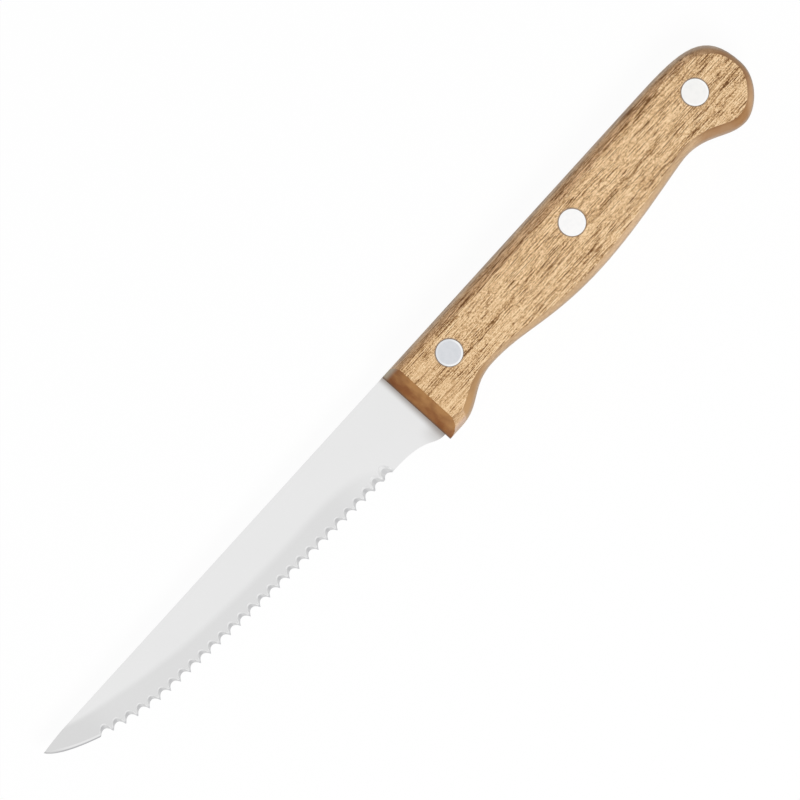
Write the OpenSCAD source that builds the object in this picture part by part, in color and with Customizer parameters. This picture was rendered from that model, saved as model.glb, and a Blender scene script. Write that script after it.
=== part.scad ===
// Steak knife with a scalloped blade and a riveted wooden handle, lying on its right side.
// Sizes are millimetres. While it is drawn, x runs from the handle's front face towards the tip,
// y is the depth below the straight back, and z is the height above the middle of the steel.

/* [Blade] */
// Length of the blade from the handle's front face to the tip
blade_length = 110.8; // [100:0.1:120]
// Thickness of the steel, blade and tang alike
steel_thickness = 1.3; // [1:0.1:1.8]
// Depth of the blade where it enters the handle
heel_depth = 18.6; // [17:0.1:19.2]
// Depth of the blade at its first tooth
first_tooth_depth = 15.6; // [14.5:0.1:16.4]
// Depth of the blade where its edge starts to sweep up to the tip
sweep_depth = 11.8; // [10.5:0.1:12.8]
// How far the tip lies below the line of the back
tip_drop = 0.45; // [0.2:0.05:0.9]
// Thickness left along the ground edge
edge_thickness = 0.3; // [0.2:0.05:0.5]
// Depth of the grind's upper line behind the teeth, below the back
grind_line_depth = 9.4; // [8.4:0.1:10.4]
// Height of the fine bevel on the plain part of the edge
fine_bevel_height = 0.7; // [0.5:0.05:1]

/* [Teeth] */
// Number of scallops ground into the edge
scallop_count = 29; // [24:1:34]
// Distance from the handle to the first tooth
teeth_start = 13.2; // [12.5:0.1:16]
// Length of the plain edge between the last tooth and the tip
plain_tip_length = 11.3; // [9:0.1:14]
// Depth of each scallop, from the line of the tooth tips
scallop_depth = 1.2; // [0.9:0.05:1.4]
// Lean of the scallops' axes away from square to the blade, in degrees
scallop_lean = 58; // [48:1:64]

/* [Handle] */
// Length of the handle from its front face to the butt
handle_length = 104.2; // [98:0.1:110]
// Thickness of each wooden scale
scale_thickness = 6; // [5:0.1:7.5]
// Depth of the handle at its front corner
corner_depth = 20.1; // [19.6:0.1:21.5]
// Depth of the handle at the finger waist
waist_depth = 15.7; // [14.5:0.1:17.5]
// Depth of the handle at the palm swell
swell_depth = 19.45; // [17.5:0.05:21]
// Depth of the handle at the neck ahead of the butt
neck_depth = 16.7; // [15.5:0.1:18.5]
// Depth of the handle at the hook of the butt
hook_depth = 21.5; // [20:0.1:23]
// Width of the rounding along the back of each scale
back_rounding = 3; // [2:0.1:4]
// Width of the rounding along the lower edge and the butt of each scale
lower_rounding = 1.8; // [1:0.1:2.6]
// Height of the rounding on each scale
rounding_height = 2.8; // [1.5:0.1:3.6]
// Length of the slanted front face of each scale, seen from the side
slant_length = 3.7; // [2.5:0.1:5]

/* [Rivets] */
// Diameter of the rivet heads
rivet_head = 6; // [5:0.1:7]
// Thickness of the rivet heads
rivet_head_thickness = 1.5; // [1:0.1:2]
// Outer diameter of the socket's shank
socket_shank = 4; // [3.6:0.1:4.6]
// Diameter of the pin's shank
pin_shank = 2.4; // [2:0.1:2.8]
// Distance from the handle's front face to the front rivet
front_rivet_setback = 13.9; // [12:0.1:16]
// Distance from the butt to the rear rivet
rear_rivet_setback = 12; // [10:0.1:14]
// Depth of the front rivet below the back
front_rivet_depth = 7.25; // [6.5:0.05:8]
// Depth of the rear rivet below the back
rear_rivet_depth = 8.7; // [8:0.05:9.5]

/* [Fits] */
// Gap all round a socket's shank in its bores
shank_clearance = 0.05; // [0.03:0.01:0.1]
// Gap all round a rivet head in its counterbore
head_clearance = 0.05; // [0.03:0.01:0.1]
// Gap all round a pin in its socket
pin_clearance = 0.02; // [0.01:0.01:0.05]
// Gap left beyond each shank's end
end_gap = 0.3; // [0.2:0.05:0.5]

/* [Hidden] */

$fn = 48;

// How far a cut runs past what it cuts
overrun = 1;
// Steps along each stretch of an outline
stretch_steps = 10;
// Steps across the rounding of a scale
rounding_steps = 5;
// Steps of the grind along the blade
grind_steps = 36;

steel_color = [0.86, 0.86, 0.87];
rivet_color = [0.80, 0.81, 0.83];
wood_color = [0.80, 0.66, 0.50];

steel_half = steel_thickness / 2;
edge_half = edge_thickness / 2;
handle_half = steel_half + scale_thickness;

// The finished knife is moved so that its box stands centred on the origin
middle_x = (blade_length - handle_length) / 2;
middle_y = max(hook_depth, corner_depth, swell_depth) / 2;

// Turning points of the handle's lower edge, as shares of its length from the front
corner_share = 0.038;
waist_share = 0.178;
swell_share = 0.483;
neck_share = 0.773;
hook_share = 0.915;
// How long the edge runs level when it leaves and reaches the turning points,
// as shares of the stretch between them, from the hook to the corner
hook_to_neck_shares = [0.37, 0.43];
neck_to_swell_shares = [0.11, 0.41];
swell_to_waist_shares = [0.51, 0.31];
waist_to_corner_shares = [0.47, 0.42];
// The butt: where it starts on the back, how deep its end lies, and its roundness
butt_start_share = 0.81;
butt_end_share = 0.52;
butt_upper_shares = [0.62, 0.98];
butt_lower_shares = [0.49, 0.50];

// How long the heel's curve runs level at the handle and at the first tooth
heel_shares = [0.28, 0.79];
// The edge: where its sweep starts along the blade, its slope there, and its roundness
sweep_start_share = 0.75;
sweep_slope_share = 0.09;
edge_pull_shares = [0.36, 0.29];
sweep_pull_share = 0.31;
tip_pull_shares = [0.08, 0.39];
// The back's last stretch, which drops to the tip
tip_back_share = 0.07;
tip_back_shares = [0.5, 0.1];

// The grind's upper line: its ends along the blade, and its roundness
grind_level_share = 0.234;
grind_top_share = 0.961;
grind_pull_shares = [0.46, -0.16, 0.15, 0.39];
// The plunge, where the grind runs out at the heel
plunge_gap = 1.1;
plunge_pull_shares = [0.4, 0.05];

// Flat left on each tooth tip, as a share of the teeth's pitch
tooth_land_share = 0.03;
// How thick the fine bevel leaves the plain edge, as a share of the ground edge
sharp_edge_share = 0.25;
// How far past the last tooth the plain edge takes up its curve, as a share of the pitch
edge_pickup_share = 0.25;

// How far inside the scales the tang widens to the handle's outline
tang_setback = 0.8;
// Chamfer on the shanks' ends
shank_chamfer = 0.25;

// Curves

function curve_point(ends, t) =
    pow(1 - t, 3) * ends[0]
    + 3 * pow(1 - t, 2) * t * ends[1]
    + 3 * (1 - t) * t * t * ends[2]
    + pow(t, 3) * ends[3];

function curve(ends, steps = stretch_steps) = [for (i = [0 : steps]) curve_point(ends, i / steps)];

// A stretch that is level at both of its ends
function level_stretch(first, last, shares) = curve([
    first,
    [first.x + (last.x - first.x) * shares[0], first.y],
    [last.x - (last.x - first.x) * shares[1], last.y],
    last
]);

function without_first(points) = [for (i = [1 : len(points) - 1]) points[i]];

// Outline of the handle, from the back round the butt to the front corner

butt_start = [-handle_length * butt_start_share, 0];
butt_end = [-handle_length, hook_depth * butt_end_share];
hook = [-handle_length * hook_share, hook_depth];
neck = [-handle_length * neck_share, neck_depth];
swell = [-handle_length * swell_share, swell_depth];
waist = [-handle_length * waist_share, waist_depth];
corner = [-handle_length * corner_share, corner_depth];

butt_upper = curve([
    butt_start,
    [butt_start.x + (butt_end.x - butt_start.x) * butt_upper_shares[0], butt_start.y],
    [butt_end.x, butt_end.y * (1 - butt_upper_shares[1])],
    butt_end
]);
butt_lower = curve([
    butt_end,
    [butt_end.x, butt_end.y + (hook.y - butt_end.y) * butt_lower_shares[0]],
    [hook.x + (butt_end.x - hook.x) * butt_lower_shares[1], hook.y],
    hook
]);

handle_rim = concat(
    butt_upper,
    without_first(butt_lower),
    without_first(level_stretch(hook, neck, hook_to_neck_shares)),
    without_first(level_stretch(neck, swell, neck_to_swell_shares)),
    without_first(level_stretch(swell, waist, swell_to_waist_shares)),
    without_first(level_stretch(waist, corner, waist_to_corner_shares))
);

// Outline of the blade's edge, from the first tooth to the tip

first_tooth = [teeth_start, first_tooth_depth];
tip = [blade_length, tip_drop];
sweep_start = [blade_length * sweep_start_share, sweep_depth];
straight_run = sweep_start.x - first_tooth.x;
sweep_run = tip.x - sweep_start.x;

edge_curve = concat(
    curve([
        first_tooth,
        [first_tooth.x + straight_run * edge_pull_shares[0], first_tooth.y],
        [
            sweep_start.x - straight_run * edge_pull_shares[1],
            sweep_start.y + straight_run * edge_pull_shares[1] * sweep_slope_share
        ],
        sweep_start
    ], 2 * stretch_steps),
    without_first(curve([
        sweep_start,
        [
            sweep_start.x + sweep_run * sweep_pull_share,
            sweep_start.y - sweep_run * sweep_pull_share * sweep_slope_share
        ],
        [
            tip.x - sweep_run * tip_pull_shares[0],
            tip.y + (sweep_start.y - tip.y) * tip_pull_shares[1]
        ],
        tip
    ], 2 * stretch_steps))
);

function edge_depth_at(x) = lookup(x, edge_curve);

teeth_end = blade_length - plain_tip_length;
tooth_pitch = (teeth_end - teeth_start) / scallop_count;
tooth_tips = [
    for (i = [0 : scallop_count])
    let (x = teeth_start + i * tooth_pitch) [x, edge_depth_at(x)]
];
plain_edge = [for (point = edge_curve) if (point.x > teeth_end + tooth_pitch * edge_pickup_share) point];

tip_back_start = [blade_length * (1 - tip_back_share), 0];
tip_back = level_stretch(tip_back_start, tip, tip_back_shares);
heel = level_stretch([0, heel_depth], first_tooth, heel_shares);

blade_outline = concat(
    handle_rim,
    [[-tang_setback, corner_depth], [-tang_setback, heel_depth]],
    heel,
    without_first(tooth_tips),
    plain_edge,
    [for (i = [len(tip_back) - 2 : -1 : 0]) tip_back[i]]
);

// The grind's upper line, with its plunge at the heel and its run past the tip

grind_level = [blade_length * grind_level_share, grind_line_depth];
grind_top = [blade_length * grind_top_share, 0];
grind_run = grind_top.x - grind_level.x;
plunge_foot = [teeth_start - plunge_gap, first_tooth_depth + overrun];
grind_width = first_tooth_depth - grind_line_depth;

plunge_curve = curve([
    plunge_foot,
    [plunge_foot.x, plunge_foot.y - grind_width * plunge_pull_shares[0]],
    [
        grind_level.x - (grind_level.x - plunge_foot.x) * plunge_pull_shares[0],
        grind_level.y + grind_width * plunge_pull_shares[1]
    ],
    grind_level
]);
upper_grind_curve = curve([
    grind_level,
    [
        grind_level.x + grind_run * grind_pull_shares[0],
        grind_level.y * (1 - grind_pull_shares[1])
    ],
    [
        grind_top.x - grind_run * grind_pull_shares[2],
        grind_level.y * grind_pull_shares[3]
    ],
    grind_top
], 2 * stretch_steps);
grind_end_slope = grind_level.y * grind_pull_shares[3] / (grind_run * grind_pull_shares[2]);
grind_end = [
    blade_length + overrun,
    -(blade_length + overrun - grind_top.x) * grind_end_slope
];
grind_curve = concat(plunge_curve, without_first(upper_grind_curve), [grind_end]);

function grind_depth_at(x) = lookup(x, grind_curve);

function heel_and_edge_depth_at(x) = (x < teeth_start) ? first_tooth_depth : edge_depth_at(x);

// The ground faces are ruled from the upper line down to the edge
function face_slope_at(x) =
    (steel_half - edge_half) / (x < grind_level.x
        ? grind_width
        : heel_and_edge_depth_at(x) - grind_depth_at(x));

// Sub-parts

// A cutter above a sloping face; each section holds [x, upper depth, upper height, lower depth, slope]
module slope_cutter(sections) {
    top = steel_half + 2 * overrun;
    corners = [
        for (s = sections)
        each [
            [s[0], s[1] - overrun, s[2] + overrun * s[4]],
            [s[0], s[1] - overrun, top],
            [s[0], s[3] + overrun, top],
            [s[0], s[3] + overrun, s[2] - (s[3] + overrun - s[1]) * s[4]]
        ]
    ];
    last = 4 * (len(sections) - 1);
    walls = [
        for (i = [0 : len(sections) - 2])
        for (j = [0 : 3])
        let (a = 4 * i + j, b = 4 * i + (j + 1) % 4)
        each [[a, b + 4, a + 4], [a, b, b + 4]]
    ];
    polyhedron(
        points = corners,
        faces = concat([[3, 2, 1, 0]], walls, [[last, last + 1, last + 2, last + 3]])
    );
}

grind_sections = [
    for (i = [0 : grind_steps])
    let (x = plunge_foot.x + (blade_length + overrun - plunge_foot.x) * i / grind_steps)
    [x, grind_depth_at(x), steel_half, heel_and_edge_depth_at(x), face_slope_at(x)]
];

fine_bevel_sections = [
    for (i = [0 : stretch_steps])
    let (x = teeth_end + (plain_tip_length + overrun) * i / stretch_steps)
    let (edge = edge_depth_at(x))
    let (height = edge_half + fine_bevel_height * face_slope_at(x))
    [x, edge - fine_bevel_height, height, edge, (height - edge_half * sharp_edge_share) / fine_bevel_height]
];

// Each scallop is cut by a leaning cylinder; it leaves the tooth tips standing on the right face
face_slope = (steel_half - edge_half) / grind_width;
scallop_root_half = edge_half + scallop_depth * face_slope;
scallop_rise = (scallop_depth + tan(scallop_lean) * scallop_depth * face_slope) * cos(scallop_lean);
scallop_half_width = tooth_pitch * (1 - tooth_land_share) / 2;
scallop_radius = (pow(scallop_half_width, 2) + pow(scallop_rise, 2)) / (2 * scallop_rise);
scallop_reach = (steel_thickness + 2 * overrun) / cos(scallop_lean);

module scallop_cutter(from, to) {
    middle = (from + to) / 2;
    turn = atan2(to.y - from.y, to.x - from.x);
    translate([middle.x, middle.y, 0])
    rotate([0, 0, turn])
    translate([0, scallop_radius / cos(scallop_lean) - scallop_depth, -scallop_root_half])
    rotate([scallop_lean, 0, 0])
    cylinder(r = scallop_radius, h = 2 * scallop_reach, center = true);
}

rivet_rise = (rear_rivet_depth - front_rivet_depth) / 2;
front_rivet = [-front_rivet_setback, front_rivet_depth];
rear_rivet = [rear_rivet_setback - handle_length, rear_rivet_depth];
middle_rivet = (front_rivet + rear_rivet) / 2;
rivet_places = [front_rivet, middle_rivet, rear_rivet];

module shank_bores() {
    for (place = rivet_places)
        translate([place.x, place.y, 0])
        cylinder(d = socket_shank + 2 * shank_clearance, h = 2 * (handle_half + overrun), center = true);
}

module blade_body() {
    difference() {
        translate([0, 0, -steel_half])
        linear_extrude(height = steel_thickness)
        polygon(blade_outline);

        for (side = [0, 1])
            mirror([0, 0, side]) {
                slope_cutter(grind_sections);
                slope_cutter(fine_bevel_sections);
            }

        for (i = [0 : scallop_count - 1])
            scallop_cutter(tooth_tips[i], tooth_tips[i + 1]);

        shank_bores();
    }
}

// The scale's outline runs on past the front face, where the slanted cut ends it
scale_rim = concat(
    [[overrun, 0]],
    handle_rim,
    [[overrun, corner_depth]]
);

function outward(points, i) =
    let (ahead = points[min(i + 1, len(points) - 1)], behind = points[max(i - 1, 0)])
    let (run = ahead - behind)
    [-run.y, run.x] / norm(run);

// The rounding is widest along the back, where the outward direction points up
function rounding_at(direction) =
    lower_rounding + (back_rounding - lower_rounding) * pow(max(0, -direction.y), 2);

// The rounding's profile: each entry holds its inset share and its rise share,
// and the first and last run a little past the wall and the outer face
rounding_angles = [for (k = [1 : rounding_steps - 1]) 90 * k / rounding_steps];
rounding_core = [for (angle = rounding_angles) [1 - cos(angle), sin(angle)]];
rounding_ends = [[0, 0], [1, 1]];
past_share = 0.3;
rounding_profile = concat(
    [rounding_ends[0] + (rounding_ends[0] - rounding_core[0]) * past_share],
    rounding_core,
    [rounding_ends[1] + (rounding_ends[1] - rounding_core[rounding_steps - 2]) * past_share]
);

function rim_point(i, inset, height) =
    let (point = scale_rim[i] - outward(scale_rim, i) * inset)
    [point.x, point.y, height];

module rounding_cutter() {
    wall_top = scale_thickness - rounding_height;
    size = len(rounding_profile) + 3;
    corners = [
        for (i = [0 : len(scale_rim) - 1])
        let (width = rounding_at(outward(scale_rim, i)))
        let (first = rounding_profile[0], last = rounding_profile[rounding_steps])
        each concat(
            [for (p = rounding_profile) rim_point(i, width * p.x, wall_top + rounding_height * p.y)],
            [
                rim_point(i, width * last.x, scale_thickness + overrun),
                rim_point(i, -overrun, scale_thickness + overrun),
                rim_point(i, -overrun, wall_top + rounding_height * first.y)
            ]
        )
    ];
    end = size * (len(scale_rim) - 1);
    walls = [
        for (i = [0 : len(scale_rim) - 2])
        for (j = [0 : size - 1])
        let (a = size * i + j, b = size * i + (j + 1) % size)
        each [[a, b + size, a + size], [a, b, b + size]]
    ];
    polyhedron(
        points = corners,
        faces = concat(
            [[for (j = [size - 1 : -1 : 0]) j]],
            walls,
            [[for (j = [0 : size - 1]) end + j]]
        )
    );
}

module slant_cutter() {
    lean = atan2(slant_length, scale_thickness);
    reach = scale_thickness + slant_length + overrun;
    rotate([0, -lean, 0])
    translate([0, -overrun, -reach])
    cube([reach, corner_depth + 2 * overrun, 2 * reach]);
}

module scale_body() {
    difference() {
        translate([0, 0, steel_half])
        linear_extrude(height = scale_thickness)
        polygon(scale_rim);

        translate([0, 0, steel_half]) {
            rounding_cutter();
            slant_cutter();
        }

        shank_bores();

        for (place = rivet_places)
            translate([place.x, place.y, handle_half - rivet_head_thickness])
            cylinder(d = rivet_head + 2 * head_clearance, h = rivet_head_thickness + overrun);
    }
}

head_floor = handle_half - rivet_head_thickness;

module rivet_pin(place) {
    radius = pin_shank / 2;
    translate([place.x, place.y, 0])
    rotate_extrude()
    polygon([
        [0, end_gap - head_floor],
        [radius - shank_chamfer, end_gap - head_floor],
        [radius, end_gap - head_floor + shank_chamfer],
        [radius, head_floor],
        [rivet_head / 2, head_floor],
        [rivet_head / 2, handle_half],
        [0, handle_half]
    ]);
}

module rivet_socket(place) {
    outer = socket_shank / 2;
    inner = pin_shank / 2 + pin_clearance;
    translate([place.x, place.y, 0])
    rotate_extrude()
    polygon([
        [0, -handle_half],
        [rivet_head / 2, -handle_half],
        [rivet_head / 2, -head_floor],
        [outer, -head_floor],
        [outer, head_floor - end_gap - shank_chamfer],
        [outer - shank_chamfer, head_floor - end_gap],
        [inner, head_floor - end_gap],
        [inner, -head_floor],
        [0, -head_floor]
    ]);
}

module placed() {
    translate([-middle_x, -middle_y, handle_half]) children();
}

module blade() {
    color(steel_color) placed() blade_body();
}

module left_scale() {
    color(wood_color) placed() scale_body();
}

module right_scale() {
    color(wood_color) placed() mirror([0, 0, 1]) scale_body();
}

module front_rivet_pin() {
    color(rivet_color) placed() rivet_pin(front_rivet);
}

module front_rivet_socket() {
    color(rivet_color) placed() rivet_socket(front_rivet);
}

module middle_rivet_pin() {
    color(rivet_color) placed() rivet_pin(middle_rivet);
}

module middle_rivet_socket() {
    color(rivet_color) placed() rivet_socket(middle_rivet);
}

module rear_rivet_pin() {
    color(rivet_color) placed() rivet_pin(rear_rivet);
}

module rear_rivet_socket() {
    color(rivet_color) placed() rivet_socket(rear_rivet);
}

blade();
left_scale();
right_scale();
front_rivet_pin();
front_rivet_socket();
middle_rivet_pin();
middle_rivet_socket();
rear_rivet_pin();
rear_rivet_socket();
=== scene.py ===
import bpy
import math
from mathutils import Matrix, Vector


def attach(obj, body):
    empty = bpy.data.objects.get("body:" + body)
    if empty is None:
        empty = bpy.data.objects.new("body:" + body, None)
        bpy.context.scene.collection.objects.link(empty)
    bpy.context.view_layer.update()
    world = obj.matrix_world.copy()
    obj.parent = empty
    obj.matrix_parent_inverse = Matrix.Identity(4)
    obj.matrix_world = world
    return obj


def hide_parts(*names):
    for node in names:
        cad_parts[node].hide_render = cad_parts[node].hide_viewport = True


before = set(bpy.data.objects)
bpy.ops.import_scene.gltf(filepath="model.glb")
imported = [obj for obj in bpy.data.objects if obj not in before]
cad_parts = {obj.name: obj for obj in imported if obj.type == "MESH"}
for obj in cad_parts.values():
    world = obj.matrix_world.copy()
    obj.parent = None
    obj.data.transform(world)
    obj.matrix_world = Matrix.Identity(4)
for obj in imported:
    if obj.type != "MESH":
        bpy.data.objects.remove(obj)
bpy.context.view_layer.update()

mm = 0.001

layers = {"steelHalf": 0.65, "scaleThickness": 6.0}
faceHeight = layers["steelHalf"] + layers["scaleThickness"]  # a scale's flat face above the steel's middle

# The knife lies on its right side. While a piece is drawn, x runs from the handle's front face
# towards the tip, y is the depth below the straight back and z is the height above the steel's middle.
place = {"alongMm": -3.3, "acrossMm": -10.75, "upMm": faceHeight}


def placed(x, y, z=0.0):
    return Vector((x + place["alongMm"], y + place["acrossMm"], z + place["upMm"])) * mm


def objectMode():
    bpy.ops.object.mode_set(mode="OBJECT")


def editMode():
    bpy.ops.object.mode_set(mode="EDIT")


def activate(piece):
    if bpy.context.mode != "OBJECT":
        objectMode()
    bpy.ops.object.select_all(action="DESELECT")
    piece.select_set(True)
    bpy.context.view_layer.objects.active = piece


def editWhole(selectMode="VERT"):
    editMode()
    bpy.ops.mesh.select_mode(type=selectMode)
    bpy.ops.mesh.select_all(action="SELECT")


def applyPlace():
    bpy.ops.object.transform_apply(location=True, rotation=True, scale=True)


def faceOutward():
    # every face turned outward, and back to object mode
    bpy.ops.mesh.select_all(action="SELECT")
    bpy.ops.mesh.normals_make_consistent(inside=False)
    objectMode()


def extrudeUp(height):
    bpy.ops.mesh.extrude_region_move(TRANSFORM_OT_translate={"value": (0, 0, height * mm)})


def drawn(point):
    p = Vector(point) / mm
    return Vector((p.x - place["alongMm"], p.y - place["acrossMm"], p.z - place["upMm"]))


def shade(red, green, blue):
    # a colour written as it shows on screen, 0 to 255
    def toLinear(v):
        v = v / 255
        return v / 12.92 if v <= 0.04045 else ((v + 0.055) / 1.055) ** 2.4
    return (toLinear(red), toLinear(green), toLinear(blue), 1.0)


class Wire:
    # a socket that works in Python expressions
    def __init__(self, graph, socket):
        self.graph = graph
        self.socket = socket

    def maths(self, operation, *others, first=None):
        values = ([self] if first is None else [first, self]) + list(others)
        return self.graph.node("ShaderNodeMath", {"operation": operation}, dict(enumerate(values))).out()

    def __add__(self, other): return self.maths("ADD", other)
    def __sub__(self, other): return self.maths("SUBTRACT", other)
    def __rsub__(self, other): return self.maths("SUBTRACT", first=other)
    def __mul__(self, other): return self.maths("MULTIPLY", other)
    def __truediv__(self, other): return self.maths("DIVIDE", other)
    def __pow__(self, other): return self.maths("POWER", other)
    def __abs__(self): return self.maths("ABSOLUTE")
    __radd__, __rmul__ = __add__, __mul__

    def largerOf(self, other): return self.maths("MAXIMUM", other)

    def between(self, low, high):
        # 0 at low, 1 at high, smooth between them
        settings = {"interpolation_type": "SMOOTHSTEP", "clamp": True}
        limits = {"Value": self, "From Min": low, "From Max": high}
        return self.graph.node("ShaderNodeMapRange", settings, limits).out("Result")

    def before(self, low, high):
        return 1 - self.between(low, high)

    def within(self, rise, fall):
        # 0 before rise, 1 between the two spans and 0 after fall
        return self.between(*rise) * self.before(*fall)

    def lifted(self, least):
        # from least to 1 instead of from 0 to 1
        return self * (1 - least) + least


class Placed:
    # a node in its graph
    def __init__(self, graph, node):
        self.graph = graph
        self.node = node

    def out(self, name=0):
        return Wire(self.graph, self.node.outputs[name])


class Graph:
    def __init__(self, tree):
        self.tree = tree

    def link(self, wire, socket):
        self.tree.links.new(wire.socket, socket)

    def node(self, kind, settings=None, inputs=None):
        new = self.tree.nodes.new(kind)
        for key, value in (settings or {}).items():
            if key == "stops":
                stops = new.color_ramp.elements
                while len(stops) < len(value):
                    stops.new(0.5)
                for stop, (position, colour) in zip(stops, value):
                    stop.position = position
                    stop.color = colour
            elif key == "curve":
                line = new.mapping.curves[0]
                line.points[0].location = value[0]
                line.points[1].location = value[-1]
                for point in value[1:-1]:
                    line.points.new(*point)
                new.mapping.update()
            else:
                setattr(new, key, value)
        for key, value in (inputs or {}).items():
            if isinstance(value, Wire):
                self.link(value, new.inputs[key])
            else:
                new.inputs[key].default_value = value
        return Placed(self, new)

    def position(self):
        # the place on the knife in drawing millimetres
        spot = self.coordinate("Object")
        shift = tuple(-place[k] for k in ("alongMm", "acrossMm", "upMm"))
        moved = self.node("ShaderNodeMapping", {"vector_type": "POINT"},
                          {"Vector": spot, "Scale": (1 / mm,) * 3, "Location": shift}).out()
        return self.parted(moved)

    def facing(self):
        return self.parted(self.coordinate("Normal"))

    def coordinate(self, name):
        return self.node("ShaderNodeTexCoord").out(name)

    def parted(self, vector):
        parts = self.node("ShaderNodeSeparateXYZ", None, {0: vector})
        return [parts.out(i) for i in (0, 1, 2)]

    def joined(self, x, y, z, perMm=None):
        # one vector, stretched by perMm on its axes
        if perMm:
            x, y, z = x * perMm[0], y * perMm[1], z * perMm[2]
        return self.node("ShaderNodeCombineXYZ", None, {0: x, 1: y, 2: z}).out()

    def noise(self, vector, scale=1.0, detail=2.0, roughness=0.5):
        # smooth noise around 0.5
        inputs = {"Vector": vector, "Scale": scale, "Detail": detail, "Roughness": roughness}
        return self.node("ShaderNodeTexNoise", {"noise_dimensions": "3D"}, inputs).out(0)

    def mix(self, factor, first, second, blend="MIX"):
        settings = {"data_type": "RGBA", "blend_type": blend, "clamp_factor": True}
        return self.node("ShaderNodeMix", settings, {0: factor, 6: first, 7: second}).out(2)

    def bump(self, height, strength, depth):
        inputs = {"Height": height, "Strength": strength, "Distance": depth * mm}
        return self.node("ShaderNodeBump", None, inputs).out()


class Finish(Graph):
    def __init__(self, name, preview):
        self.material = bpy.data.materials.new(name)
        self.material.use_nodes = True
        self.material.diffuse_color = preview
        super().__init__(self.material.node_tree)
        self.shader = self.tree.nodes["Principled BSDF"]

    def feed(self, **sockets):
        names = {"colour": "Base Color", "roughness": "Roughness", "metallic": "Metallic", "normal": "Normal",
                 "gloss": "Specular IOR Level"}
        for key, value in sockets.items():
            name = names[key]
            if isinstance(value, Wire):
                self.link(value, self.shader.inputs[name])
            else:
                self.shader.inputs[name].default_value = value


knifeOutline = {
    "handleLength": 104.2, "cornerDepth": 20.1, "waistDepth": 15.7, "swellDepth": 19.45,
    "neckDepth": 16.7, "hookDepth": 21.33, "buttReach": 103.9,
    "cornerShare": 0.038, "waistShare": 0.178, "swellShare": 0.483, "neckShare": 0.773, "hookShare": 0.9114,
    "buttStartShare": 0.794, "buttEndShare": 0.548,
    "bladeLength": 110.8, "heelDepth": 18.6, "firstTooth": (13.2, 15.6), "tipDrop": 0.45,
    "sweepStart": (83.1, 11.8), "sweepSlope": 0.09, "tipBackShare": 0.07, "tangSetback": 0.8,
    # the upper line of the grind: along, depth
    "grindFoot": (12.1, 16.6), "grindLevel": (25.93, 9.4), "grindTop": (106.48, 0.0),
    # how far a curve's handles reach from its first and last point, as shares of the stretch
    "buttUpperPull": (0.69, 0.053), "buttLowerPull": (0.554, 0.388), "hookPull": (0.33, 0.48),
    "neckPull": (0.11, 0.41), "swellPull": (0.51, 0.31), "waistPull": (0.47, 0.42), "heelPull": (0.28, 0.79),
    "edgePull": (0.36, 0.29), "sweepPull": (0.31, 0.08), "sweepRise": 0.39, "tipPull": (0.5, 0.1),
    "footPull": (0.4, 0.4), "footRise": 0.05, "grindPull": (0.46, 0.15), "grindRise": (1.16, 0.39),
}


def levelHandles(first, last, shareFirst, shareLast):
    # handles of a stretch that is level at both of its ends
    return ((first[0] + (last[0] - first[0]) * shareFirst, first[1]),
            (last[0] - (last[0] - first[0]) * shareLast, last[1]))


def handleStretches():
    k = knifeOutline
    length = k["handleLength"]
    buttStart = (-length * k["buttStartShare"], 0.0)
    buttEnd = (-k["buttReach"], k["hookDepth"] * k["buttEndShare"])
    names = ("hook", "neck", "swell", "waist", "corner")
    hook, neck, swell, waist, corner = ((-length * k[name + "Share"], k[name + "Depth"]) for name in names)
    upperPull, lowerPull = k["buttUpperPull"], k["buttLowerPull"]
    upper = ((buttStart[0] + (buttEnd[0] - buttStart[0]) * upperPull[0], 0.0),
             (buttEnd[0], buttEnd[1] * upperPull[1]))
    lower = ((buttEnd[0], buttEnd[1] + (hook[1] - buttEnd[1]) * lowerPull[0]),
             (hook[0] + (buttEnd[0] - hook[0]) * lowerPull[1], hook[1]))
    return [
        (buttStart, *upper, buttEnd),
        (buttEnd, *lower, hook),
        (hook, *levelHandles(hook, neck, *k["hookPull"]), neck),
        (neck, *levelHandles(neck, swell, *k["neckPull"]), swell),
        (swell, *levelHandles(swell, waist, *k["swellPull"]), waist),
        (waist, *levelHandles(waist, corner, *k["waistPull"]), corner),
    ]


def straight(first, last):
    third = [(first[i] + (last[i] - first[i]) / 3, first[i] + (last[i] - first[i]) * 2 / 3) for i in (0, 1)]
    return (first, (third[0][0], third[1][0]), (third[0][1], third[1][1]), last)


def straights(*points):
    return [straight(first, last) for first, last in zip(points, points[1:])]


def grindStretches():
    k = knifeOutline
    foot, level, top = k["grindFoot"], k["grindLevel"], k["grindTop"]
    run, lead, width = top[0] - level[0], level[0] - foot[0], grindWidth()
    return [
        (foot, (foot[0], foot[1] - width * k["footPull"][0]),
         (level[0] - lead * k["footPull"][1], level[1] + width * k["footRise"]), level),
        (level, (level[0] + run * k["grindPull"][0], level[1] * k["grindRise"][0]),
         (top[0] - run * k["grindPull"][1], level[1] * k["grindRise"][1]), top),
    ]


def grindWidth():
    return knifeOutline["firstTooth"][1] - knifeOutline["grindLevel"][1]


def edgeStretches():
    k = knifeOutline
    tooth, sweep = k["firstTooth"], k["sweepStart"]
    tip = (k["bladeLength"], k["tipDrop"])
    run, rest, slope = sweep[0] - tooth[0], tip[0] - sweep[0], k["sweepSlope"]
    edgePull, sweepPull = k["edgePull"], k["sweepPull"]
    return [
        (tooth, (tooth[0] + run * edgePull[0], tooth[1]),
         (sweep[0] - run * edgePull[1], sweep[1] + run * edgePull[1] * slope), sweep),
        (sweep, (sweep[0] + rest * sweepPull[0], sweep[1] - rest * sweepPull[0] * slope),
         (tip[0] - rest * sweepPull[1], tip[1] + (sweep[1] - tip[1]) * k["sweepRise"]), tip),
    ]


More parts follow.
